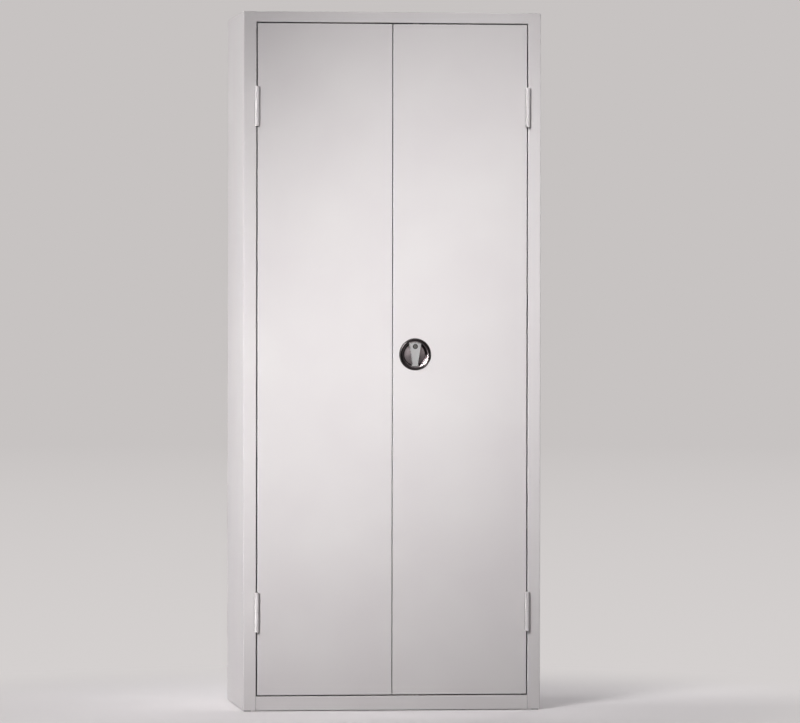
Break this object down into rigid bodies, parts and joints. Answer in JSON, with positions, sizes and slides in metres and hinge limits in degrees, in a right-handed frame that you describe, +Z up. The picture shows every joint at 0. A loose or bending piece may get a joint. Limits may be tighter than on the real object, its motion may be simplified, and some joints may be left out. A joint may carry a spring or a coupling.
{
  "type": "steel storage cabinet",
  "caption": "Tall two-door steel storage cabinet with shelves inside, lift-off hinges and a recessed turn handle that drives locking rods.",
  "frame": {"origin": "on the floor, at the middle of the sheet body's footprint", "axes": "X to the right seen from the front, Y from the doors to the back, Z up"},
  "size_m": [0.835, 0.5127, 1.95],
  "materials": {
    "painted_steel": "light grey powder coat, semi-gloss",
    "zinc_steel": "bright zinc plated",
    "dish_metal": "die cast, dark grey gloss lacquer",
    "black_plastic": "moulded black plastic",
    "white_plastic": "natural moulded plastic",
    "rubber": "black rubber",
    "lever_chrome": "satin chrome",
    "lock_dark": "dark nickel",
    "lock_bright": "nickel plated"
  },
  "bodies": {
    "cabinet": {"left_side_panel": "painted_steel", "right_side_panel": "painted_steel", "top_panel": "painted_steel", "top_stop_strip": "painted_steel", "bottom_panel": "painted_steel", "back_panel": "painted_steel", "corner_glides": "black_plastic", "top_keeper": "zinc_steel", "bottom_keeper": "zinc_steel", "door_bumpers": "rubber", "upright_front_left": "painted_steel", "upright_front_right": "painted_steel", "upright_rear_left": "painted_steel", "upright_rear_right": "painted_steel", "shelf_1": "painted_steel", "shelf_2": "painted_steel", "shelf_3": "painted_steel", "shelf_4": "painted_steel", "shelf_clips": "zinc_steel", "frame_hinge_upper_left": "painted_steel", "frame_hinge_lower_left": "painted_steel", "frame_hinge_upper_right": "painted_steel", "frame_hinge_lower_right": "painted_steel", "hinge_pins": "zinc_steel"},
    "left_door": {"left_door_panel": "painted_steel", "left_door_stiffener": "painted_steel", "door_hinge_upper_left": "painted_steel", "door_hinge_lower_left": "painted_steel", "strike_plate": "zinc_steel"},
    "right_door": {"right_door_panel": "painted_steel", "right_door_stiffener": "painted_steel", "door_hinge_upper_right": "painted_steel", "door_hinge_lower_right": "painted_steel", "handle_dish": "dish_metal", "dish_ring_nut": "black_plastic", "lock_case_front": "zinc_steel", "lock_case_cover": "zinc_steel", "upper_rod_guide": "white_plastic", "lower_rod_guide": "white_plastic", "rod_bushings": "white_plastic"},
    "lever": {"turn_lever": "lever_chrome", "spindle": "zinc_steel", "pinion": "zinc_steel", "locking_tongue": "zinc_steel", "lock_barrel": "lock_dark"},
    "lock_plug": {"lock_plug": "lock_bright", "plug_cam": "zinc_steel"},
    "upper_rod": {"upper_rack": "zinc_steel", "upper_rod": "zinc_steel"},
    "lower_rod": {"lower_rack": "zinc_steel", "lower_rod": "zinc_steel"}
  },
  "joints": [
    {"name": "left_door_hinge", "type": "hinge", "parent": "cabinet", "child": "left_door", "pos_m": [-0.38, -0.2565, 0.98], "axis": [0, 0, -1], "range_deg": [0, 180]},
    {"name": "right_door_hinge", "type": "hinge", "parent": "cabinet", "child": "right_door", "pos_m": [0.38, -0.2565, 0.98], "axis": [0, 0, 1], "range_deg": [0, 180]},
    {"name": "lever_turn", "type": "hinge", "parent": "right_door", "child": "lever", "pos_m": [0.064, -0.25, 0.995], "axis": [0, -1, 0], "range_deg": [0, 90]},
    {"name": "lock_plug_turn", "type": "hinge", "parent": "lever", "child": "lock_plug", "pos_m": [0.064, -0.25, 1.017], "axis": [0, 1, 0], "range_deg": [0, 90]},
    {"name": "upper_rod_slide", "type": "slide", "parent": "right_door", "child": "upper_rod", "axis": [0, 0, 1], "range_m": [0, 0.0142]},
    {"name": "lower_rod_slide", "type": "slide", "parent": "right_door", "child": "lower_rod", "axis": [0, 0, -1], "range_m": [0, 0.0142]}
  ],
  "couplings": [
    {"joint": "upper_rod_slide", "follows": "lever_turn", "m_per_rad": 0.009},
    {"joint": "lower_rod_slide", "follows": "lever_turn", "m_per_rad": 0.009}
  ]
}
